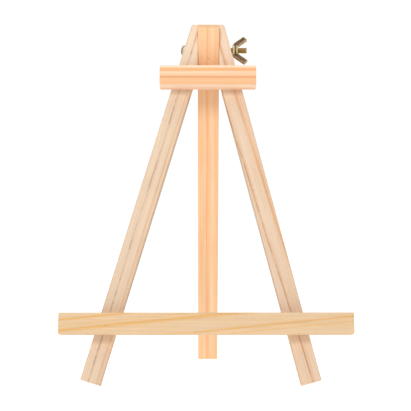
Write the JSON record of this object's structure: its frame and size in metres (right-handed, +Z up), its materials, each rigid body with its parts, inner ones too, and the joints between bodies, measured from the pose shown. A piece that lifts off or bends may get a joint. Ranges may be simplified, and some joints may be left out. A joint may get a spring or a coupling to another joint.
{
  "type": "tabletop easel",
  "caption": "Folding wooden tabletop easel: a splayed front frame with a ledge for a picture, and a back leg hinged on one bolt with a wing nut.",
  "frame": {"origin": "on the floor, under the middle of the standing easel's box", "axes": "+Z up; the front, where the picture stands, faces -Y and leans back; +X to the viewer's right, on the wing nut's side"},
  "size_m": [0.2352, 0.1758, 0.3001],
  "materials": {
    "front_leg_pine": "planed, unfinished, pale",
    "back_leg_pine": "planed, unfinished, peach",
    "upper_bar_pine": "planed, unfinished, orange bands along the grain",
    "ledge_pine": "planed, unfinished, wide slanting grain",
    "bolt_zinc": "yellow-passivated zinc, dull",
    "yellow_zinc": "yellow-passivated zinc, iridescent"
  },
  "bodies": {
    "front_frame": {"left_leg": "front_leg_pine", "right_leg": "front_leg_pine", "upper_bar": "upper_bar_pine", "ledge": "ledge_pine", "pivot_bolt": "bolt_zinc", "upper_left_screw": "yellow_zinc", "upper_right_screw": "yellow_zinc", "ledge_left_screw": "yellow_zinc", "ledge_right_screw": "yellow_zinc"},
    "back_leg": {"back_leg": "back_leg_pine"},
    "wing_nut": {"wing_nut": "yellow_zinc"}
  },
  "joints": [
    {"name": "back_leg_fold", "type": "hinge", "parent": "front_frame", "child": "back_leg", "pos_m": [0.0022, -0.01365, 0.27789], "axis": [1, 0, 0], "range_deg": [-31.6, 104]},
    {"name": "wing_nut_turn", "type": "hinge", "parent": "front_frame", "child": "wing_nut", "pos_m": [0.02281, -0.01365, 0.27789], "axis": [1, 0, 0], "range_deg": [0, 720]}
  ]
}
